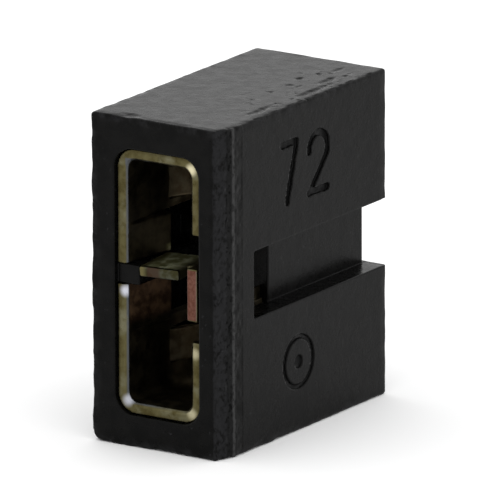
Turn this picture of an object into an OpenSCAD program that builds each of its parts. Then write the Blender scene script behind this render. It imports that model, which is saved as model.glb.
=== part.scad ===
// Two-way jumper shunt for 0.64 mm square posts on a 2.54 mm pitch.
//
// It stands on one end face.  +Z runs along the pitch, from one post to the
// other.  The mating face, where the posts go in, looks along -Y.  The side
// face with the raised-block grip and the cavity number looks along +X.
// The origin is at the middle of the lower end face.

/* [Housing] */
// Length along the pitch of the two posts
body_l = 5.08; // [4.96:0.02:5.20]
// Thickness across the two wide side faces
body_w = 2.34; // [2.28:0.02:2.60]
// Depth from the mating face to the back
body_d = 4.50; // [4.40:0.05:5.20]
// Leg of the long corner bevel, along the side face
bevel_side = 0.34; // [0.10:0.02:0.40]
// Leg of the long corner bevel, along the mating face
bevel_face = 0.13; // [0.06:0.01:0.20]

/* [Grip recess] */
// Height of the recess across the middle of each wide side
grip_h = 1.03; // [0.90:0.01:1.10]
// How deep the recess is cut into each wide side
grip_depth = 0.36; // [0.30:0.01:0.38]
// How deep the recess is cut into the back
grip_back = 0.12; // [0.06:0.01:0.20]
// Distance from the mating face to the front wall of the recess
grip_front = 0.875; // [0.82:0.005:0.90]

/* [Contact] */
// Spacing of the two posts
pitch = 2.54; // [2.50:0.01:2.58]
// Side of the square post that the contact grips
post = 0.64; // [0.60:0.01:0.66]
// Thickness of the contact strip
strip_t = 0.17; // [0.14:0.01:0.18]
// Overall width of the formed contact
con_w = 1.47; // [1.44:0.01:1.48]
// Overall height of the formed contact
con_h = 4.08; // [4.04:0.01:4.12]
// Outside radius of the contact's corners
con_r = 0.30; // [0.22:0.01:0.34]
// How far the contact's front edge lies inside the mating face
con_inset = 0.06; // [0.03:0.01:0.08]
// Gap between a pair of grip springs with no post in it
spring_gap = 0.50; // [0.44:0.01:0.56]

/* [Cavity number] */
// Height of the digits
digit_h = 1.00; // [0.80:0.05:1.10]
// Width of one engraved stroke
stroke = 0.11; // [0.08:0.01:0.13]
// Depth of the engraving
engrave = 0.05; // [0.03:0.01:0.07]
// Radius of the round gate recess on the lower block
gate_r = 0.42; // [0.30:0.02:0.50]

/* [Hidden] */
$fn = 64;

mid = body_l / 2;
x_side = body_w / 2;
y_face = -body_d / 2;
y_back = body_d / 2;

// Contact envelope
cx = con_w / 2;
cz0 = mid - con_h / 2;
cz1 = mid + con_h / 2;
cy0 = y_face + con_inset;
cy1 = y_face + 3.60;

// The pocket leaves a slip fit round the strip
fit = 0.012;
px = cx + fit;
pz0 = cz0 - fit;
pz1 = cz1 + fit;
pr = con_r + fit;

// Grip recess
gz0 = mid - grip_h / 2;
gz1 = mid + grip_h / 2;
gx = x_side - grip_depth;
gy = y_face + grip_front;

// The pocket is one space as far back as y_split, then two wells
y_split = y_face + 1.78;
well = 0.61;

// Rib from the far wall that stands in the slit of the contact
rib_z0 = mid - 0.05;
rib_z1 = mid + 0.25;
rib_x = -0.36;

// Slit between the two free edges of the contact's far wall
slit_z0 = mid - 0.06;
slit_z1 = mid + 0.26;

// Outer edges of the two side flaps, and their length
flap_lo = mid - 0.80;
flap_hi = mid + 0.86;
flap_l = 0.92;

// Carrier tab in the front edge of the near wall, with its relief notches
tab_z0 = mid - 0.46;
tab_z1 = mid + 0.35;
notch_lo = mid - 0.78;
notch_hi = mid + 0.87;
notch_d = 0.26;

// Grip springs
spring_z = post - 0.08;
spring_y0 = y_face + 1.25;
spring_y1 = y_face + 3.25;

// A box between two corners
module span(a, b) {
    translate(a) cube([b[0] - a[0], b[1] - a[1], b[2] - a[2]]);
}

// An X-Z outline carried along +Y from y0 to y1
module along_y(y0, y1) {
    translate([0, y1, 0]) rotate([90, 0, 0]) linear_extrude(y1 - y0) children();
}

// A rounded rectangle in the outline plane
module round_rect(x0, z0, x1, z1, r) {
    translate([x0 + r, z0]) square([x1 - x0 - 2 * r, z1 - z0]);
    translate([x0, z0 + r]) square([x1 - x0, z1 - z0 - 2 * r]);
    for (x = [x0 + r, x1 - r], z = [z0 + r, z1 - r]) translate([x, z]) circle(r);
}

// ---------------------------------------------------------------- housing

module block() {
    linear_extrude(body_l) polygon([
        [-x_side, y_face],
        [x_side - bevel_face, y_face],
        [x_side, y_face + bevel_side],
        [x_side, y_back],
        [-x_side, y_back]
    ]);
}

module pocket() {
    // full-height mouth
    difference() {
        along_y(y_face - 1, y_split) round_rect(-px, pz0, px, pz1, pr);
        // rib between the two mouths
        span([-px - 1, y_face + 0.09, rib_z0], [rib_x, y_split + 1, rib_z1]);
    }
    // one well behind each mouth
    along_y(y_split - 0.5, cy1) intersection() {
        round_rect(-px, pz0, px, pz1, pr);
        union() {
            translate([-px, pz0]) square([2 * px, mid - well - pz0]);
            translate([-px, mid + well]) square([2 * px, pz1 - mid - well]);
        }
    }
}

module grip() {
    // both sides, open to the back
    for (s = [-1, 1]) {
        if (s > 0) span([gx, gy, gz0], [x_side + 1, y_back + 1, gz1]);
        else span([-x_side - 1, gy, gz0], [-gx, y_back + 1, gz1]);
    }
    span([-x_side - 1, y_back - grip_back, gz0], [x_side + 1, y_back + 1, gz1]);
    // latch window through to the pocket
    span([px - 0.05, gy, gz0], [gx + 0.05, y_split, gz1]);
}

// A straight stroke between two points
module bar(p, q, w) {
    d = q - p;
    len = norm(d);
    translate(p) rotate(atan2(d[1], d[0])) translate([-w / 2, -w / 2]) square([len + w, w]);
}

// Outlines in (Y, Z), one unit wide by digit_h high, from the lower left
module seven(h, w, s) {
    bar([0, h - s / 2], [w, h - s / 2], s);
    bar([w, h - s / 2], [0.32 * w, s / 2], s);
}

module two(h, w, s) {
    r = w / 2;
    translate([r, h - r - s / 2]) intersection() {
        difference() {
            circle(r + s / 2);
            circle(r - s / 2);
        }
        union() {
            translate([-r - 1, 0]) square([2 * r + 2, r + 1]);
            translate([0, -r - 1]) square([r + 1, r + 2]);
        }
    }
    bar([r + 0.62 * r, h - r - s / 2 - 0.70 * r], [0.02 * w, s / 2], s);
    bar([0, s / 2], [w, s / 2], s);
}

module on_side(y, z, depth) {
    translate([x_side - depth, y, z]) rotate([90, 0, 90]) linear_extrude(1) children();
}

module marks() {
    on_side(-0.60, 3.56, engrave) seven(digit_h, 0.38, stroke);
    on_side(0.12, 3.56, engrave) two(digit_h, 0.50, stroke);
    on_side(-0.18, 1.08, engrave * 0.7) difference() {
        circle(gate_r);
        circle(gate_r - 0.07);
    }
    on_side(-0.18, 1.08, engrave * 0.7) circle(0.10);
}

module housing() {
    color([0.05, 0.05, 0.055]) difference() {
        block();
        pocket();
        grip();
        marks();
    }
}

// ---------------------------------------------------------------- contact

module sleeve() {
    along_y(cy0, cy1) difference() {
        round_rect(-cx, cz0, cx, cz1, con_r);
        round_rect(-cx + strip_t, cz0 + strip_t, cx - strip_t, cz1 - strip_t, con_r - strip_t + 0.02);
        translate([-cx - 1, slit_z0]) square([1 + cx, slit_z1 - slit_z0]);
    }
}

// A bridge lance: a bowed leaf between two fixed ends, one on each side
module lance(z) {
    c = (spring_y1 - spring_y0) / 2;
    sag = cx - strip_t - spring_gap / 2;
    r_out = (c * c + sag * sag) / (2 * sag);
    for (s = [0, 1]) mirror([s, 0, 0]) intersection() {
        translate([cx - sag + r_out, (spring_y0 + spring_y1) / 2, z - spring_z / 2])
            difference() {
                cylinder(h = spring_z, r = r_out + strip_t, $fn = 128);
                translate([0, 0, -1]) cylinder(h = spring_z + 2, r = r_out, $fn = 128);
            }
        span([0, spring_y0 - 0.2, 0], [cx, spring_y1 + 0.2, body_l]);
    }
}

module lance_windows(z) {
    span([-cx - 1, spring_y0 - 0.02, z - spring_z / 2], [cx + 1, spring_y1 + 0.02, z + spring_z / 2]);
}

// Carrier tab, joggled inwards and sheared off flush
module tab() {
    span([cx - strip_t - 0.06, cy0, tab_z0], [cx - 0.05, y_face + 0.60, tab_z1]);
}

// Tongue bent in from the bridge, between the two posts.  Its root is set back
// behind the carrier tab, and its free end comes forward to the front edge.
module tongue() {
    translate([cx - strip_t / 2, cy0 + 0.01, mid + 0.14]) rotate([4, -2.5, 0]) {
        span([-1.00, 0, 0], [-0.30, 0.78, strip_t - 0.01]);
        span([-0.31, 0.27, 0], [0, 0.78, strip_t - 0.01]);
    }
}

// Side flaps, bent inwards from the two free edges of the far wall
module flap(z0, z1) {
    translate([-cx, cy0 + 0.12, z0]) rotate([0, 0, -9])
        span([0, 0, 0], [strip_t, flap_l, z1 - z0]);
}

module flap_window(z0, z1) {
    span([-cx - 1, cy0 + 0.30, z0], [-cx + strip_t + 0.1, y_split + 1, z1]);
}

// Latch on the near wall, sprung out to catch behind the front wall of the
// grip recess
module latch() {
    span([cx - strip_t, gy + 0.01, gz0 - 0.20], [cx, y_split - 0.03, gz0 + 0.06]);
    span([cx - strip_t, gy + 0.01, gz0 - 0.10], [cx, gy + 0.52, gz0 + 0.24]);
    translate([0, 0, gz0 + 0.02]) linear_extrude(0.22) polygon([
        [cx - strip_t / 2, gy + 0.01],
        [gx - 0.01, gy + 0.01],
        [cx, gy + 0.45],
        [cx - strip_t / 2, gy + 0.45]
    ]);
}

module contact() {
    color([0.72, 0.66, 0.45]) union() {
        difference() {
            sleeve();
            for (s = [-1, 1]) lance_windows(mid + s * pitch / 2);
            flap_window(slit_z1 - 1e-3, flap_hi);
            flap_window(flap_lo, slit_z0 + 1e-3);
            // relief notches beside the carrier tab
            span([0, y_face - 1, tab_z1], [cx + 1, cy0 + notch_d, notch_hi]);
            span([0, y_face - 1, notch_lo], [cx + 1, cy0 + notch_d, tab_z0]);
            span([0, y_face - 1, tab_z0 - 0.01], [cx + 1, cy0 + notch_d, tab_z1 + 0.01]);
            // the bridge ends short of the window, the wells are separate
            span([0, gy - 0.05, gz0 - 0.01], [cx + 1, cy1 + 1, gz1 + 0.03]);
            span([-cx - 1, y_split - 0.02, mid - well - 0.02], [cx + 1, cy1 + 1, mid + well + 0.02]);
        }
        for (s = [-1, 1]) lance(mid + s * pitch / 2);
        tab();
        tongue();
        flap(slit_z1, flap_hi);
        flap(flap_lo, slit_z0);
        latch();
    }
}

housing();
contact();
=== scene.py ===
import math

import bmesh
import bpy
import numpy as np
from mathutils import Matrix, Vector


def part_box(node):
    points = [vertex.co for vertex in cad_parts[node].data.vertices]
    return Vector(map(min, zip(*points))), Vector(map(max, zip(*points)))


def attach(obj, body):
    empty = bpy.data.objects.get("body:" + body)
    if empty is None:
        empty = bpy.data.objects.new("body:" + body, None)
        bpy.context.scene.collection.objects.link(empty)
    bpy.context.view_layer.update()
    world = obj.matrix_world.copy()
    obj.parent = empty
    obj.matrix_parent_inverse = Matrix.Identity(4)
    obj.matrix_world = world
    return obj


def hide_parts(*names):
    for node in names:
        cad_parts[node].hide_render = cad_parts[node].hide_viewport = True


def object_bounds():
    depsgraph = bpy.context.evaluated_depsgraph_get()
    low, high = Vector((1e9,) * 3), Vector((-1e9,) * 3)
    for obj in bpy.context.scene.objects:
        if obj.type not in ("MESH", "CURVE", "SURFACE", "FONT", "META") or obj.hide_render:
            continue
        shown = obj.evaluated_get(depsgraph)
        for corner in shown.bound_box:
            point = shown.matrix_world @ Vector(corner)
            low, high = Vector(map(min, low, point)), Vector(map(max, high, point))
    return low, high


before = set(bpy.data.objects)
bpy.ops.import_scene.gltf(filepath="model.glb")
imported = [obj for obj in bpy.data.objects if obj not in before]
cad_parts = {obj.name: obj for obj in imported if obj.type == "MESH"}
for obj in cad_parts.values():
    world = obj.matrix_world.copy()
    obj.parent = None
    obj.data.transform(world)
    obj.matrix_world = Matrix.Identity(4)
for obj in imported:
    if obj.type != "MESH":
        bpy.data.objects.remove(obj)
cad_box = [list(v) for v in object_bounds()]

MM = 0.001
F = np.float32

# ------------------------------------------------------------------ dimensions
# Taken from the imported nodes, in mm.
_lo, _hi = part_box("housing")
HX = _hi[0] / MM            # half thickness
HY = _hi[1] / MM            # half depth
LZ = _hi[2] / MM            # length
_clo, _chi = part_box("contact")
CX = -_clo[0] / MM
CZ0, CZ1 = _clo[2] / MM, _chi[2] / MM
CY0, CY1 = _clo[1] / MM, _chi[1] / MM
MID = LZ / 2
T = 0.17                    # strip thickness
CR = 0.30                   # contact corner radius
GZ0, GZ1 = MID - 0.515, MID + 0.515
GX = HX - 0.36
GY = -HY + 0.875
GB = 0.12
YS = -HY + 1.78
WELL = 0.61
BEV_S, BEV_F = 0.34, 0.13
FIT = 0.012

# ------------------------------------------------------------------ distances
# Signed distances on numpy arrays, negative inside.


def rmax(a, b, r):
    """Intersection with a rounded edge of radius r."""
    u = np.maximum(a + r, 0)
    v = np.maximum(b + r, 0)
    return np.minimum(np.maximum(a, b), -r) + np.sqrt(u * u + v * v)


def rmin(a, b, r):
    """Union with a rounded inner edge of radius r."""
    return -rmax(-a, -b, r)


def box_d(p, lo, hi, r=0.0):
    c = [(a + b) / 2 for a, b in zip(lo, hi)]
    h = [(b - a) / 2 - r for a, b in zip(lo, hi)]
    q = [np.abs(p[i] - c[i]) - h[i] for i in range(3)]
    out = np.sqrt(sum(np.maximum(k, 0) ** 2 for k in q))
    return out + np.minimum(np.maximum(np.maximum(q[0], q[1]), q[2]), 0) - r


def rect2(u, v, u0, v0, u1, v1, r):
    qu = np.abs(u - (u0 + u1) / 2) - ((u1 - u0) / 2 - r)
    qv = np.abs(v - (v0 + v1) / 2) - ((v1 - v0) / 2 - r)
    return (
        np.sqrt(np.maximum(qu, 0) ** 2 + np.maximum(qv, 0) ** 2)
        + np.minimum(np.maximum(qu, qv), 0)
        - r
    )


def seg2(u, v, a, b):
    d = (b[0] - a[0], b[1] - a[1])
    t = ((u - a[0]) * d[0] + (v - a[1]) * d[1]) / (d[0] ** 2 + d[1] ** 2)
    t = np.clip(t, 0, 1)
    return np.sqrt((u - a[0] - t * d[0]) ** 2 + (v - a[1] - t * d[1]) ** 2)


class Noise:
    """Smooth lattice noise in about -1 to 1, seeded."""

    def __init__(self, seed):
        self.t = np.random.RandomState(seed).uniform(-1, 1, (32, 32, 32)).astype(F)

    def __call__(self, p, scale, off=(0.0, 0.0, 0.0), stretch=(1, 1, 1)):
        i0, w = [], []
        for k in range(3):
            s = (p[k] * stretch[k] + off[k]) / scale
            f = np.floor(s)
            i0.append(f.astype(np.int32) & 31)
            d = (s - f).astype(F)
            w.append(d * d * (3 - 2 * d))
        out = 0
        for dx in (0, 1):
            wx = w[0] if dx else 1 - w[0]
            ix = (i0[0] + dx) & 31
            for dy in (0, 1):
                wy = w[1] if dy else 1 - w[1]
                iy = (i0[1] + dy) & 31
                for dz in (0, 1):
                    wz = w[2] if dz else 1 - w[2]
                    iz = (i0[2] + dz) & 31
                    out = out + wx * wy * wz * self.t[ix, iy, iz]
        return out


N1 = Noise(11)
N2 = Noise(29)


def bump(d, w):
    """1 at d = 0, falling smoothly to 0 at distance w."""
    k = np.clip(1 - np.abs(d) / w, 0, 1)
    return k * k * (3 - 2 * k)


# ------------------------------------------------------------------ housing


def digit_seven(u, v, h, w, s):
    return np.minimum(
        seg2(u, v, (0, h - s / 2), (w, h - s / 2)),
        seg2(u, v, (w, h - s / 2), (0.32 * w, s / 2)),
    ) - s / 2


def digit_two(u, v, h, w, s):
    r = w / 2
    cu, cv = r, h - r - s / 2
    du, dv = u - cu, v - cv
    ring = np.abs(np.sqrt(du * du + dv * dv) - r)
    ang = np.arctan2(dv, du)
    keep = (ang > -0.75) & (ang <= math.pi)
    end = (cu + r * math.cos(-0.75), cv + r * math.sin(-0.75))
    ring = np.where(keep, ring, 9.0)
    ring = np.minimum(ring, np.sqrt((u - 0) ** 2 + (v - cv) ** 2))
    d = np.minimum(ring, seg2(u, v, end, (0.02 * w, s / 2)))
    return np.minimum(d, seg2(u, v, (0, s / 2), (w, s / 2))) - s / 2


DENTS = (
    (0.41, 1.02, 0.05, 0.07, 0.03),
    (0.82, 1.16, 0.06, 0.26, 0.035),
    (0.97, 0.53, 0.07, 0.46, 0.045),
    (0.93, -0.85, 0.06, 0.36, 0.035),
    (0.62, 1.75, 0.05, 0.16, 0.02),
    (-0.55, -2.12, 0.16, 0.10, 0.03),
)


def housing_d(p):
    """The outer block: rounded edges, the bevel, and what the mould and handling left."""
    x, y, z = p
    n = math.hypot(BEV_S, BEV_F)
    bev = ((x - (HX - BEV_F)) * BEV_S + (-HY - y) * BEV_F) / n
    d = rmax(x - HX, -x - HX, 0.05)
    d = rmax(d, y - HY, 0.05)
    d = rmax(d, -HY - y, 0.035)
    d = rmax(d, bev, 0.03)
    d = rmax(d, z - LZ, 0.045)
    d = rmax(d, -z, 0.045)
    # a softer corner low on the far side of the mating face
    c = np.sqrt((x + HX - 0.16) ** 2 + (y + HY - 0.16) ** 2 + (z - 0.16) ** 2)
    low = (x < -HX + 0.16) & (y < -HY + 0.16) & (z < 0.16)
    d = np.where(low, np.maximum(d, (c - 0.2) * 0.8), d)
    # lumps along the outer edges
    ux, uy, uz = HX - np.abs(x), HY - np.abs(y), np.minimum(z, LZ - z)
    n1, n2 = N1(p, 0.33), N2(p, 0.125)
    n3 = N1(p, 0.06, (0.3, 0.7, 0.1))
    lump = 0.014 + 0.02 * n1 + 0.012 * n2
    e_xy = np.hypot(ux, uy)
    e_z = np.minimum(np.hypot(ux, uz), np.hypot(uy, uz))
    w = np.maximum(bump(e_xy, 0.20), 0.8 * bump(e_z, 0.14))
    w = w * np.where(y < -1.2, 1.0, np.maximum(0.35, 1.0 - 0.65 * (y + 1.2) / 0.8))
    d = d + w * np.maximum(lump, 0)
    # the bevel was torn rather than cut, so it is rough all over
    on = np.clip(1 + bev / 0.09, 0, 1) * (x > 0.8) * (y < -1.7)
    rough = 0.010 + 0.013 * n2 + 0.010 * n3 + 0.006 * n1
    d = d + on * np.maximum(rough, 0)
    # small pits on the end face beside the marked side
    pit = np.maximum(n2 * 0.6 + n3 * 0.55 - 0.38, 0)
    near = np.clip((x - 0.15) / 0.3, 0, 1) * np.clip((z - LZ + 0.05) / 0.04, 0, 1)
    near = near * np.clip((y + 1.3) / 0.4, 0, 1) * np.clip((1.9 - y) / 0.4, 0, 1)
    d = d + 0.03 * pit * near
    # longer dents there, where parts knocked together
    up = np.clip((z - LZ + 0.06) / 0.04, 0, 1)
    for cx, cy, lx, ly, dep in DENTS:
        q = np.sqrt(((x - cx) / lx) ** 2 + ((y - cy) / ly) ** 2) + 0.4 * n2 + 0.15 * n3
        d = d + 0.6 * dep * up * bump(np.maximum(q, 0), 1.3)
    return d


def housing_full(p):
    x, y, z = p
    d = housing_d(p)
    # grip recess on both sides and across the back
    for s in (1, -1):
        g = rmax(rmax(GX - s * x, -(y - GY), 0.006), np.maximum(z - GZ1, GZ0 - z), 0.006)
        d = rmax(d, -g, 0.014)
    g = rmax(-(y - (HY - GB)), np.maximum(z - GZ1, GZ0 - z), 0.006)
    d = rmax(d, -g, 0.014)
    # pocket: mouth, then a well behind each
    px, pz0, pz1 = CX + FIT, CZ0 - FIT, CZ1 + FIT
    prof = rect2(x, z, -px, pz0, px, pz1, CR + FIT)
    mouth = np.maximum(prof, y - YS)
    rib = box_d(p, (-px - 1, -HY + 0.09, MID - 0.05), (-0.36, YS + 1, MID + 0.25), 0.02)
    mouth = np.maximum(mouth, -rib)
    well = np.maximum(np.maximum(prof, y - CY1), WELL - np.abs(z - MID))
    well = np.maximum(well, YS - 0.5 - y)
    pocket = np.minimum(mouth, well)
    window = box_d(p, (px - 0.08, GY, GZ0), (GX + 0.2, YS, GZ1), 0.0)
    pocket = np.minimum(pocket, window)
    ragged = 0.006 * N2(p, 0.11, (2.0, 1.0, 0.5)) * bump(y + HY, 0.2)
    d = rmax(d, -(pocket + np.maximum(ragged, 0)), 0.02)
    # engraved plain number and gate ring
    dep = HX - 0.05
    num = np.minimum(
        digit_seven(y + 0.60, z - 3.56, 1.0, 0.38, 0.11),
        digit_two(y - 0.12, z - 3.56, 1.0, 0.50, 0.11),
    )
    num = num + 0.010 * N2(p, 0.07, (0.4, 0.1, 0.8))
    num = rmax(num, dep - x, 0.008)
    d = rmax(d, -num, 0.010)
    rg = np.sqrt((y + 0.18) ** 2 + (z - 1.08) ** 2)
    ring = np.minimum(np.abs(rg - 0.385) - 0.035, rg - 0.10)
    ring = rmax(ring, (HX - 0.035) - x, 0.01)
    d = rmax(d, -ring, 0.015)
    return d


# ------------------------------------------------------------------ contact

PITCH, POST, GAP = 2.54, 0.64, 0.50
SL0, SL1 = MID - 0.06, MID + 0.26
FL0, FL1 = MID - 0.80, MID + 0.86
TAB0, TAB1 = MID - 0.46, MID + 0.35
NO0, NO1, ND = MID - 0.78, MID + 0.87, 0.26
SP, SY0, SY1 = POST - 0.08, -HY + 1.25, -HY + 3.25


def turned(p, at, deg_x=0.0, deg_y=0.0, deg_z=0.0):
    """Coordinates of p in a frame placed at `at`, turned about X, then Y, then Z."""
    x, y, z = p[0] - at[0], p[1] - at[1], p[2] - at[2]
    a = -math.radians(deg_z)
    x, y = x * math.cos(a) - y * math.sin(a), x * math.sin(a) + y * math.cos(a)
    a = -math.radians(deg_y)
    x, z = x * math.cos(a) + z * math.sin(a), -x * math.sin(a) + z * math.cos(a)
    a = -math.radians(deg_x)
    y, z = y * math.cos(a) - z * math.sin(a), y * math.sin(a) + z * math.cos(a)
    return x, y, z


def cut(d, lo, hi, r=0.015):
    def go(p):
        return rmax(d(p), -box_d(p, lo, hi, 0.01), r)

    return go


def contact_d(p):
    x, y, z = p
    # the strip, bent round, with a coined lead-in on the inner front edge
    outer = rect2(x, z, -CX, CZ0, CX, CZ1, CR)
    lead = np.maximum(0.050 - (y - CY0), 0) * 0.9
    inner = rect2(x, z, -CX + T, CZ0 + T, CX - T, CZ1 - T, CR - T + 0.02) - lead
    strip = rmax(outer, -inner, 0.012)
    # the front edge isn't quite in one plane
    wav = 0.006 * N1((x, y * 0, z), 0.7, (0.2, 0.4, 0.9)) - 0.006
    strip = rmax(strip, CY0 - wav - y, 0.014)
    d = rmax(strip, y - CY1, 0.02)
    # slit in the far wall
    d = rmax(d, -box_d(p, (-CX - 1, -9, SL0), (-0.2, 9, SL1), 0.0), 0.02)
    # windows that the springs and flaps are cut from
    for s in (-1, 1):
        zc = MID + s * PITCH / 2
        d = rmax(d, -box_d(p, (-CX - 1, SY0 - 0.02, zc - SP / 2), (CX + 1, SY1 + 0.02, zc + SP / 2)), 0.012)
    for a, b in ((SL1 - 1e-3, FL1), (FL0, SL0 + 1e-3)):
        d = rmax(d, -box_d(p, (-CX - 1, CY0 + 0.30, a), (-CX + T + 0.1, YS + 1, b)), 0.012)
    # relief notches beside the carrier tab
    for a, b in ((TAB1, NO1), (NO0, TAB0), (TAB0 - 0.01, TAB1 + 0.01)):
        d = rmax(d, -box_d(p, (0, -9, a), (CX + 1, CY0 + ND, b)), 0.02)
    # bridge ends short of the window, and the wells are separate
    d = np.maximum(d, -box_d(p, (0, GY - 0.05, GZ0 - 0.01), (CX + 1, 9, GZ1 + 0.03)))
    d = np.maximum(d, -box_d(p, (-CX - 1, YS - 0.02, MID - WELL - 0.02), (CX + 1, 9, MID + WELL + 0.02)))
    # springs
    c = (SY1 - SY0) / 2
    sag = CX - T - GAP / 2
    ro = (c * c + sag * sag) / (2 * sag)
    ax = np.abs(x)
    rad = np.hypot(ax - (CX - sag + ro), y - (SY0 + SY1) / 2)
    leaf = np.abs(rad - ro - T / 2) - T / 2
    for s in (-1, 1):
        zc = MID + s * PITCH / 2
        sp = rmax(leaf, np.abs(z - zc) - (SP / 2 - 0.03), 0.03)
        sp = np.maximum(sp, np.maximum(SY0 - 0.2 - y, y - SY1 - 0.2))
        sp = np.maximum(sp, np.abs(x) - CX)
        d = np.minimum(d, sp)
    # carrier tab
    tab = box_d(p, (CX - T - 0.06, CY0, TAB0), (CX - 0.05, -HY + 0.60, TAB1), 0.018)
    d = rmin(d, tab, 0.02)
    # tongue
    q = turned(p, (CX - T / 2, CY0 + 0.01, MID + 0.14), 4, -2.5, 0)
    tg = box_d(q, (-1.00, 0, 0), (-0.30, 0.78, T - 0.01), 0.03)
    tg = rmin(tg, box_d(q, (-0.31, 0.27, 0), (0, 0.78, T - 0.01), 0.03), 0.04)
    d = rmin(d, tg, 0.02)
    # flaps
    for a, b in ((SL1, FL1), (FL0, SL0)):
        q = turned(p, (-CX, CY0 + 0.12, a), 0, 0, -9)
        d = rmin(d, box_d(q, (0, 0, 0), (T, 0.92, b - a), 0.03), 0.02)
    # latch
    lt = box_d(p, (CX - T, GY + 0.01, GZ0 - 0.20), (CX, YS - 0.03, GZ0 + 0.06), 0.02)
    d = rmin(d, lt, 0.02)
    lt = box_d(p, (CX - T, GY + 0.01, GZ0 - 0.10), (CX, GY + 0.52, GZ0 + 0.24), 0.02)
    d = rmin(d, lt, 0.02)
    edge = (x - (GX - 0.01)) * 0.45 + (y - GY - 0.01) * (GX - 0.01 - CX)
    edge = edge / math.hypot(0.45, GX - 0.01 - CX)
    wd = np.maximum(np.maximum(CX - T / 2 - x, GY + 0.01 - y), edge)
    wd = rmax(wd, np.abs(z - GZ0 - 0.13) - 0.11, 0.02)
    d = rmin(d, wd, 0.015)
    return d


# ------------------------------------------------------------------ meshing


def surface_nets(fn, lo, hi, h, name):
    """Meshes fn = 0 on a grid of step h, then moves the points onto fn = 0."""
    lo = np.array(lo, F) - 2.5 * h
    n = np.ceil((np.array(hi) - lo) / h).astype(int) + 3
    ax = [(lo[k] + h * np.arange(n[k])).astype(F) for k in range(3)]
    val = np.empty(n, F)
    step = max(1, int(2.0e6 / (n[1] * n[2])))
    for i in range(0, n[0], step):
        X, Y, Z = np.meshgrid(ax[0][i : i + step], ax[1], ax[2], indexing="ij")
        val[i : i + step] = fn((X, Y, Z))
    neg = val < 0
    c = [slice(0, -1), slice(1, None)]
    inside = sum(
        neg[c[a], c[b], c[e]].astype(np.int8) for a in (0, 1) for b in (0, 1) for e in (0, 1)
    )
    act = (inside > 0) & (inside < 8)
    idx = -np.ones(act.shape, np.int64)
    cells = np.argwhere(act)
    idx[act] = np.arange(len(cells))
    pos = np.zeros((len(cells), 3))
    cnt = np.zeros(len(cells))
    ci = cells.T
    corner = [(a, b, e) for a in (0, 1) for b in (0, 1) for e in (0, 1)]
    for a in corner:
        for k in range(3):
            if a[k]:
                continue
            b = list(a)
            b[k] = 1
            va = val[ci[0] + a[0], ci[1] + a[1], ci[2] + a[2]]
            vb = val[ci[0] + b[0], ci[1] + b[1], ci[2] + b[2]]
            m = (va < 0) != (vb < 0)
            t = va[m] / (va[m] - vb[m])
            q = np.tile(np.array(a, float), (m.sum(), 1))
            q[:, k] = t
            pos[m] += q
            cnt[m] += 1
    pos = (cells + pos / cnt[:, None]) * h + lo
    # quads across every grid edge that changes sign
    quads = []
    for k in range(3):
        u, v = (k + 1) % 3, (k + 2) % 3
        s0 = [slice(1, -1)] * 3
        s1 = [slice(1, -1)] * 3
        s0[k] = slice(0, -1)
        s1[k] = slice(1, None)
        A = neg[tuple(s0)]
        B = neg[tuple(s1)]
        for flip in (False, True):
            m = np.argwhere((A & ~B) if not flip else (~A & B))
            off = np.ones(3, int)
            off[k] = 0
            g = m + off
            du = np.zeros(3, int)
            dv = np.zeros(3, int)
            du[u] = 1
            dv[v] = 1
            q = [g - du - dv, g - dv, g, g - du]
            if flip:
                q = q[::-1]
            quads.append(np.stack([idx[tuple(w.T)] for w in q], 1))
    quads = np.concatenate(quads)
    for it in range(3):
        P = tuple(pos[:, k].astype(F) for k in range(3))
        e = F(0.004)
        v0 = fn(P)
        g = np.stack(
            [
                fn(tuple(P[j] + (e if j == k else 0) for j in range(3)))
                - fn(tuple(P[j] - (e if j == k else 0) for j in range(3)))
                for k in range(3)
            ],
            1,
        ) / (2 * e)
        gg = np.maximum((g * g).sum(1), 0.2)
        mv = -(v0 / gg)[:, None] * g
        ln = np.linalg.norm(mv, axis=1)
        mv *= np.minimum(1, 0.5 * h / np.maximum(ln, 1e-9))[:, None]
        pos = pos + mv
    return pos, quads


def gradient(fn, pos, e):
    P = [pos[:, k].astype(F) for k in range(3)]
    g = np.empty((len(pos), 3))
    for k in range(3):
        a = [q + F(e) if i == k else q for i, q in enumerate(P)]
        b = [q - F(e) if i == k else q for i, q in enumerate(P)]
        g[:, k] = fn(tuple(a)) - fn(tuple(b))
    n = np.linalg.norm(g, axis=1)
    g[n < 1e-9] = (0, 0, 1)
    return g / np.maximum(n, 1e-9)[:, None]


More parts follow.
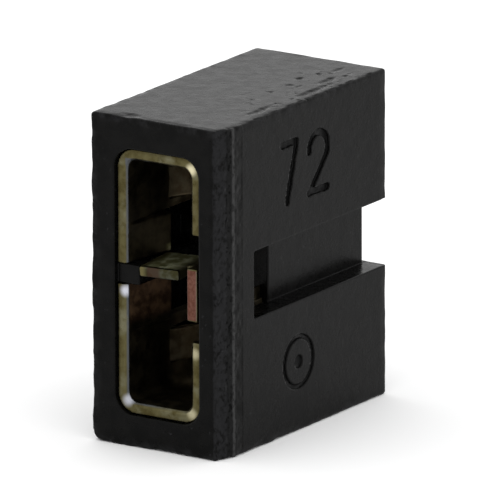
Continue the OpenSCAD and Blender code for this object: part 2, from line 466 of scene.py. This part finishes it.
def build(name, fn, lo, hi, h, target, inside=None):
    """A closed mesh of fn = 0, thinned out where it is flat, in metres."""
    pos, quads = surface_nets(fn, lo, hi, h, name)
    me = bpy.data.meshes.new(name)
    me.vertices.add(len(pos))
    me.vertices.foreach_set("co", pos.astype(F).ravel())
    me.loops.add(quads.size)
    me.loops.foreach_set("vertex_index", quads.astype(np.int32).ravel())
    me.polygons.add(len(quads))
    me.polygons.foreach_set("loop_start", np.arange(0, quads.size, 4, dtype=np.int32))
    me.update(calc_edges=True)
    me.validate()
    ob = bpy.data.objects.new(name, me)
    bpy.context.scene.collection.objects.link(ob)
    if len(quads) * 2 > target:
        md = ob.modifiers.new("thin", "DECIMATE")
        md.ratio = target / (len(quads) * 2)
        dg = bpy.context.evaluated_depsgraph_get()
        new = bpy.data.meshes.new_from_object(ob.evaluated_get(dg))
        ob.modifiers.clear()
        ob.data = new
        bpy.data.meshes.remove(me)
        me = new
        me.name = name
    bm = bmesh.new()
    bm.from_mesh(me)
    # specks left by the thinning
    seen, drop = set(), []
    for v in bm.verts:
        if v.index in seen:
            continue
        stack, group = [v], []
        seen.add(v.index)
        while stack:
            a = stack.pop()
            group.append(a)
            for e in a.link_edges:
                b = e.other_vert(a)
                if b.index not in seen:
                    seen.add(b.index)
                    stack.append(b)
        if len(group) < 400:
            drop += group
    bmesh.ops.delete(bm, geom=drop, context="VERTS")
    bm.to_mesh(me)
    bm.free()
    co = np.empty(len(me.vertices) * 3, F)
    me.vertices.foreach_get("co", co)
    co = co.reshape(-1, 3).astype(float)
    g = gradient(fn, co, 0.006)
    if inside is not None:
        co = np.clip(co, inside[0], inside[1])
    me.vertices.foreach_set("co", (co * MM).astype(F).ravel())
    me.update()
    me.polygons.foreach_set("use_smooth", np.ones(len(me.polygons), bool))
    me.normals_split_custom_set_from_vertices(g.astype(F))
    me.update()
    return ob


# ------------------------------------------------------------------ materials


class Graph:
    def __init__(self, name):
        self.mat = bpy.data.materials.new(name)
        self.mat.use_nodes = True
        self.t = self.mat.node_tree
        self.bsdf = self.t.nodes["Principled BSDF"]
        tc = self.t.nodes.new("ShaderNodeTexCoord")
        self.obj = tc.outputs["Object"]
        sx = self.t.nodes.new("ShaderNodeSeparateXYZ")
        mm = self.t.nodes.new("ShaderNodeVectorMath")
        mm.operation = "SCALE"
        mm.inputs["Scale"].default_value = 1000.0
        self.t.links.new(self.obj, mm.inputs[0])
        self.mm = mm.outputs[0]
        self.t.links.new(self.mm, sx.inputs[0])
        self.x, self.y, self.z = sx.outputs

    def _in(self, sock, v):
        if v is None:
            return
        if isinstance(v, bpy.types.NodeSocket):
            self.t.links.new(v, sock)
        else:
            sock.default_value = v

    def m(self, op, a, b=None, c=None, clamp=False):
        n = self.t.nodes.new("ShaderNodeMath")
        n.operation = op
        n.use_clamp = clamp
        for s, v in zip(n.inputs, (a, b, c)):
            self._in(s, v)
        return n.outputs[0]

    def noise(self, size, detail=3.0, rough=0.55, stretch=(1, 1, 1), distort=0.0):
        n = self.t.nodes.new("ShaderNodeTexNoise")
        n.inputs["Scale"].default_value = 1.0 / size
        n.inputs["Detail"].default_value = detail
        n.inputs["Roughness"].default_value = rough
        n.inputs["Distortion"].default_value = distort
        src = self.mm
        if stretch != (1, 1, 1):
            mp = self.t.nodes.new("ShaderNodeMapping")
            mp.inputs["Scale"].default_value = stretch
            self.t.links.new(src, mp.inputs["Vector"])
            src = mp.outputs[0]
        self.t.links.new(src, n.inputs["Vector"])
        return n.outputs["Fac"]

    def range(self, v, a, b, c=0.0, d=1.0, smooth=True):
        n = self.t.nodes.new("ShaderNodeMapRange")
        n.interpolation_type = "SMOOTHSTEP" if smooth else "LINEAR"
        self._in(n.inputs["Value"], v)
        n.inputs["From Min"].default_value = a
        n.inputs["From Max"].default_value = b
        n.inputs["To Min"].default_value = c
        n.inputs["To Max"].default_value = d
        return n.outputs["Result"]

    def mix(self, f, a, b):
        n = self.t.nodes.new("ShaderNodeMix")
        n.data_type = "RGBA"
        self._in(n.inputs[0], f)
        for s, v in ((n.inputs[6], a), (n.inputs[7], b)):
            if isinstance(v, tuple):
                s.default_value = (*v, 1.0) if len(v) == 3 else v
            else:
                self.t.links.new(v, s)
        return n.outputs[2]

    def bump(self, h, dist_mm, strength=1.0, below=None):
        n = self.t.nodes.new("ShaderNodeBump")
        n.inputs["Strength"].default_value = strength
        n.inputs["Distance"].default_value = dist_mm * MM
        self.t.links.new(h, n.inputs["Height"])
        if below is not None:
            self.t.links.new(below, n.inputs["Normal"])
        return n.outputs["Normal"]

    def set(self, **kw):
        for k, v in kw.items():
            self._in(self.bsdf.inputs[k.replace("_", " ")], v)


def black_plastic():
    g = Graph("black_plastic_moulded")
    big = g.noise(0.9, 3, 0.5)
    mid = g.noise(0.22, 4, 0.6)
    fine = g.noise(0.045, 3, 0.6)
    # how near an outer edge: 1 on the edge
    ux = g.m("SUBTRACT", HX, g.m("ABSOLUTE", g.x))
    uy = g.m("SUBTRACT", HY, g.m("ABSOLUTE", g.y))
    zc = g.m("SUBTRACT", g.z, MID)
    uz = g.m("SUBTRACT", LZ / 2, g.m("ABSOLUTE", zc))

    def hyp(a, b):
        return g.m("SQRT", g.m("ADD", g.m("MULTIPLY", a, a), g.m("MULTIPLY", b, b)))

    e = g.m("MINIMUM", g.m("MINIMUM", hyp(ux, uy), hyp(ux, uz)), hyp(uy, uz))
    edge = g.range(e, 0.02, 0.16, 1.0, 0.0)
    # the bevel
    n = math.hypot(BEV_S, BEV_F)
    bx = g.m("MULTIPLY", g.m("SUBTRACT", g.x, HX - BEV_F), BEV_S / n)
    by = g.m("MULTIPLY", g.m("ADD", g.y, HY), -BEV_F / n)
    bev = g.range(g.m("ADD", bx, by), -0.05, -0.02)
    worn = g.m("MULTIPLY", g.m("MAXIMUM", edge, bev), g.range(mid, 0.42, 0.66))
    dust = g.range(g.noise(0.07, 2, 0.5), 0.66, 0.74)
    dust = g.m("MULTIPLY", dust, g.range(big, 0.45, 0.6))
    base = g.mix(g.range(mid, 0.3, 0.7), (0.0014, 0.0014, 0.0013), (0.0030, 0.0029, 0.0027))
    base = g.mix(g.m("MULTIPLY", worn, g.range(fine, 0.3, 0.62, 0.2, 0.7)), base, (0.016, 0.016, 0.017))
    # across the bevel: dull grey, then pitted, then a painted highlight along the edge of the side face
    tt = g.m("DIVIDE", g.m("ADD", g.y, HY), BEV_S)
    grain = g.noise(0.085, 3, 0.6, (1.6, 1.6, 1.0))
    dull = g.m("MULTIPLY", bev, g.range(tt, 0.55, 0.7, 1, 0))
    dull = g.m("MULTIPLY", dull, g.range(grain, 0.34, 0.56))
    pits = g.m("MULTIPLY", bev, g.m("MULTIPLY", g.range(tt, 0.5, 0.62), g.range(tt, 0.86, 0.93, 1, 0)))
    pits = g.m("MULTIPLY", pits, g.range(grain, 0.38, 0.48, 1, 0))
    # painted highlight: a bright line where the bevel meets the side face
    painted_edge_highlight = g.range(g.m("ABSOLUTE", g.m("SUBTRACT", tt, 0.99)), 0.03, 0.12, 1, 0)
    painted_edge_highlight = g.m("MULTIPLY", g.m("MULTIPLY", painted_edge_highlight, g.range(g.x, HX - 0.08, HX - 0.05)), g.range(grain, 0.36, 0.52, 0.25, 1))
    base = g.mix(g.m("MULTIPLY", bev, g.range(tt, 0.6, 0.75)), base, (0.0065, 0.0065, 0.0065))
    base = g.mix(dull, base, (0.0110, 0.0110, 0.0118))
    base = g.mix(pits, base, (0.0012, 0.0012, 0.0012))
    # the painted edge highlight goes into the base colour
    base = g.mix(g.m("MULTIPLY", painted_edge_highlight, 0.9), base, (0.036, 0.036, 0.036))
    base = g.mix(g.m("MULTIPLY", dust, 0.35), base, (0.03, 0.03, 0.032))
    r = g.m("ADD", 0.27, g.m("MULTIPLY", g.m("SUBTRACT", mid, 0.5), 0.28))
    r = g.m("ADD", r, g.m("MULTIPLY", worn, 0.16))
    # the engraved places have an eroded floor
    cutm = g.m("MULTIPLY", g.range(g.x, HX - 0.040, HX - 0.014, 1, 0), g.range(g.x, HX - 0.07, HX - 0.065))
    cutm = g.m("MULTIPLY", cutm, g.range(g.y, -1.5, -1.3))
    cutm = g.m("MULTIPLY", cutm, g.range(uy, 0.3, 0.4))
    cutm = g.m("MULTIPLY", cutm, g.range(g.m("ABSOLUTE", zc), GZ1 - MID + 0.1, GZ1 - MID + 0.15))
    base = g.mix(cutm, base, (0.0035, 0.0035, 0.0035))
    r = g.m("ADD", r, g.m("MULTIPLY", cutm, g.range(mid, 0.35, 0.6, 0.0, 0.3)))
    r = g.m("ADD", r, g.m("MULTIPLY", pits, 0.4))
    g.set(Base_Color=base, Roughness=r)
    g.bsdf.inputs["Specular IOR Level"].default_value = 0.064
    n1 = g.bump(mid, 0.008, 0.6)
    n2 = g.bump(fine, 0.0035, 0.7, n1)
    g.set(Normal=n2)
    return g.mat


def plated_strip():
    g = Graph("plated_strip_worn")
    big = g.noise(0.55, 4, 0.6)
    mid = g.noise(0.16, 4, 0.6)
    fine = g.noise(0.04, 3, 0.6)
    roll = g.noise(0.05, 3, 0.5, (1.0, 0.12, 1.0))
    gold = g.mix(g.range(mid, 0.3, 0.7), (0.052, 0.043, 0.016), (0.100, 0.088, 0.040))
    front = g.mix(g.range(big, 0.50, 0.66), gold, (0.125, 0.118, 0.072))
    # the coined lead-in is silvery, brightened as a painted highlight that is strongest on the -X wall
    qx = g.m("SUBTRACT", g.m("ABSOLUTE", g.x), CX - T)
    qz = g.m("SUBTRACT", g.m("ABSOLUTE", g.m("SUBTRACT", g.z, MID)), (CZ1 - CZ0) / 2 - T)
    q = g.m("MAXIMUM", qx, qz)
    lead = g.m("MULTIPLY", g.range(q, 0.012, 0.034, 1, 0), g.range(g.y, CY0 + 0.055, CY0 + 0.08, 1, 0))
    # the painted highlight fades towards +X
    lead = g.m("MULTIPLY", lead, g.range(g.x, -0.4, 0.3, 1.0, 0.12))
    lead = g.m("MULTIPLY", lead, g.range(mid, 0.25, 0.6, 0.45, 1.0))
    base = g.mix(lead, front, (0.080, 0.085, 0.092))
    rim = g.range(q, 0.105, 0.165)
    base = g.mix(g.m("MULTIPLY", rim, 0.5), base, (0.030, 0.024, 0.010))
    # painted highlights at listed corners of the strip
    for cz, cxx, amt in ((CZ1 - 0.17, CX - 0.15, 1.0), (CZ0 + 0.15, CX - 0.15, 0.55), (SL0 - 0.10, -CX + 0.14, 0.9), (CZ0 + 0.19, -CX + 0.17, 0.6), (NO0 - 0.17, CX - 0.10, 0.5)):
        ex = g.m("SUBTRACT", g.x, cxx)
        ez = g.m("SUBTRACT", g.z, cz)
        rr = g.m("SQRT", g.m("ADD", g.m("MULTIPLY", ex, ex), g.m("MULTIPLY", ez, ez)))
        # painted highlight, gold-white on the +X side and silvery on the -X side
        painted_glint = g.m("MULTIPLY", g.range(rr, 0.02, 0.13, 1, 0), amt)
        base = g.mix(painted_glint, base, (0.62, 0.57, 0.38) if cxx > 0 else (0.55, 0.56, 0.62))
    # painted shade: everything behind the front edge is darkened, with an amber painted reflection in the lower
    # well
    inner = g.mix(g.range(mid, 0.35, 0.65), (0.014, 0.011, 0.006), (0.032, 0.026, 0.015))
    # painted reflection: an amber glow on the walls of the lower well
    painted_amber_reflection = g.mix(g.range(mid, 0.35, 0.65), (0.060, 0.034, 0.020), (0.125, 0.075, 0.042))
    low = g.m("MULTIPLY", g.range(g.z, MID - 0.75, MID - 0.55), g.range(g.z, MID - 0.1, MID, 1, 0))
    low = g.m("MULTIPLY", low, g.range(g.x, GX - 0.45, GX - 0.40, 1, 0))
    low = g.m("MULTIPLY", low, g.range(g.y, CY0 + 0.95, CY0 + 1.05, 1, 0))
    inner = g.mix(low, inner, painted_amber_reflection)
    # the painted shade starts just behind the front edge
    deep = g.range(g.y, CY0 + 0.045, CY0 + 0.075)
    mids = g.m("MULTIPLY", g.range(g.z, MID + 0.08, MID + 0.13), g.range(g.z, MID + 0.36, MID + 0.4, 1, 0))
    mids = g.m("MULTIPLY", mids, g.m("MULTIPLY", g.range(g.x, -0.45, -0.4), g.range(g.x, 0.47, 0.5, 1, 0)))
    # lighter gold deep at the back, outside the wells, where the painted shade gives way
    far = g.m("MULTIPLY", g.range(g.y, CY0 + 1.0, CY0 + 1.5), g.range(g.m("ABSOLUTE", g.m("SUBTRACT", g.z, MID)), WELL - 0.02, WELL + 0.12))
    inner = g.mix(far, inner, g.mix(g.range(mid, 0.35, 0.65), (0.20, 0.15, 0.09), (0.30, 0.25, 0.16)))
    # the tongue: dark olive on its front face, and behind it a pale painted highlight that turns darker gold
    # towards +X
    tong = g.mix(g.range(mid, 0.42, 0.6), (0.030, 0.028, 0.012), (0.055, 0.056, 0.038))
    face = g.range(g.y, CY0 + 0.035, CY0 + 0.06)
    tongue_top_highlight = g.mix(g.range(mid, 0.42, 0.6), (0.20, 0.20, 0.08), (0.36, 0.37, 0.24))
    tongue_top_highlight = g.mix(g.range(g.x, 0.18, 0.36), tongue_top_highlight, (0.06, 0.055, 0.03))
    tong = g.mix(face, tong, tongue_top_highlight)
    # painted shade inside the contact
    base = g.mix(deep, base, inner)
    base = g.mix(mids, base, tong)
    tip = g.m("MULTIPLY", mids, g.range(g.x, -0.30, -0.20, 1, 0))
    base = g.mix(tip, base, (0.105, 0.092, 0.040))
    dark = g.m("MULTIPLY", mids, g.m("MULTIPLY", g.range(g.x, -0.24, -0.18), g.range(g.x, -0.02, 0.04, 1, 0)))
    dark = g.m("MULTIPLY", dark, g.range(g.y, CY0 + 0.035, CY0 + 0.06, 1, 0))
    base = g.mix(g.m("MULTIPLY", dark, 0.75), base, (0.040, 0.021, 0.014))
    # the sheared edge of the carrier tab is bare copper alloy
    fx = g.m("MULTIPLY", g.range(g.x, 0.497, 0.507), g.range(g.x, 0.668, 0.678, 1, 0))
    fz = g.m("MULTIPLY", g.range(g.z, TAB0 + 0.015, TAB0 + 0.03), g.range(g.z, TAB1 - 0.03, TAB1 - 0.015, 1, 0))
    fy = g.range(g.y, CY0 + 0.012, CY0 + 0.02, 1, 0)
    bare = g.m("MULTIPLY", g.m("MULTIPLY", fx, fz), fy)
    copper = g.mix(g.range(fine, 0.35, 0.65), (0.092, 0.036, 0.024), (0.150, 0.070, 0.052))
    rimx = g.m("MAXIMUM", g.range(g.x, 0.505, 0.522, 1, 0), g.range(g.x, 0.655, 0.672))
    copper = g.mix(g.m("MULTIPLY", rimx, 0.6), copper, (0.20, 0.17, 0.15))
    base = g.mix(bare, base, copper)
    r = g.m("ADD", 0.24, g.m("MULTIPLY", g.range(mid, 0.3, 0.7), 0.2))
    r = g.m("ADD", r, g.m("MULTIPLY", bare, 0.2))
    r = g.m("ADD", r, g.m("MULTIPLY", deep, 0.18))
    g.set(Base_Color=base, Roughness=r)
    g.bsdf.inputs["Metallic"].default_value = 1.0
    n1 = g.bump(roll, 0.004, 0.5)
    n2 = g.bump(fine, 0.004, 0.5, n1)
    g.set(Normal=n2)
    return g.mat


# ------------------------------------------------------------------ the pieces

HS, CS = ((0.026, 0.022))
box_in = (np.array(cad_box[0]) / MM, np.array(cad_box[1]) / MM)

shell = build("housing_moulding", housing_full, (-HX, -HY, 0), (HX, HY, LZ), HS, 190000, box_in)
shell.data.materials.append(black_plastic())
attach(shell, "root")
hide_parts("housing")

strip = build(
    "contact_strip", contact_d, (-CX, CY0, CZ0), (max(CX, GX), CY1, CZ1), CS, 180000, box_in
)
strip.data.materials.append(plated_strip())
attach(strip, "root")
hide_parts("contact")

# ------------------------------------------------------------------ the set

fl = bpy.data.meshes.new("floor")
S = 0.6
fl.from_pydata([(-S, -S, 0), (S, -S, 0), (S, S, 0), (-S, S, 0)], [], [(0, 1, 2, 3)])
floor = bpy.data.objects.new("floor", fl)
bpy.context.scene.collection.objects.link(floor)
fm = bpy.data.materials.new("floor_white")
fm.use_nodes = True
fb = fm.node_tree.nodes["Principled BSDF"]
fb.inputs["Base Color"].default_value = (0.95, 0.95, 0.95, 1)
fb.inputs["Roughness"].default_value = 0.9
fb.inputs["Specular IOR Level"].default_value = 0.0
fl.materials.append(fm)

world = bpy.data.worlds.new("studio")
bpy.context.scene.world = world
world.use_nodes = True
wt = world.node_tree
bg = wt.nodes["Background"]
bg.inputs["Color"].default_value = (1, 1, 1, 1)
bg.inputs["Strength"].default_value = 1.3

scn = bpy.context.scene
scn.view_settings.view_transform = "Standard"
scn.view_settings.look = "None"

# ------------------------------------------------------------------ camera

AZ, EL, ROLL, INVD, CXP, CYP, SC = 33.39, 16.07, -0.17, 0.00452, 240.1, 416.4, 66.58
a, e = math.radians(AZ), math.radians(EL)
back = Vector((math.sin(a) * math.cos(e), -math.cos(a) * math.cos(e), math.sin(e)))
right = Vector((math.cos(a), math.sin(a), 0))
up = back.cross(right)
D = 1 / INVD
f = SC * D
r = math.radians(ROLL)
du, dv = 250 - CXP, 250 - CYP
c, s = math.cos(r), math.sin(r)
u = c * du + s * dv
v = -s * du + c * dv
ray = (right * (u / f) + up * (-v / f) - back).normalized()
b2 = -ray
xr = right * c + up * s
r2 = (xr - b2 * xr.dot(b2)).normalized()
u2 = b2.cross(r2)
mat = Matrix((r2, u2, b2)).transposed().to_4x4()
mat.translation = back * D * MM
cam = bpy.data.cameras.new("camera")
cam.sensor_width = 36
cam.lens = f / 500 * 36
cam.clip_start = 0.01
cam.clip_end = 10
co = bpy.data.objects.new("camera", cam)
co.matrix_world = mat
scn.collection.objects.link(co)
scn.camera = co
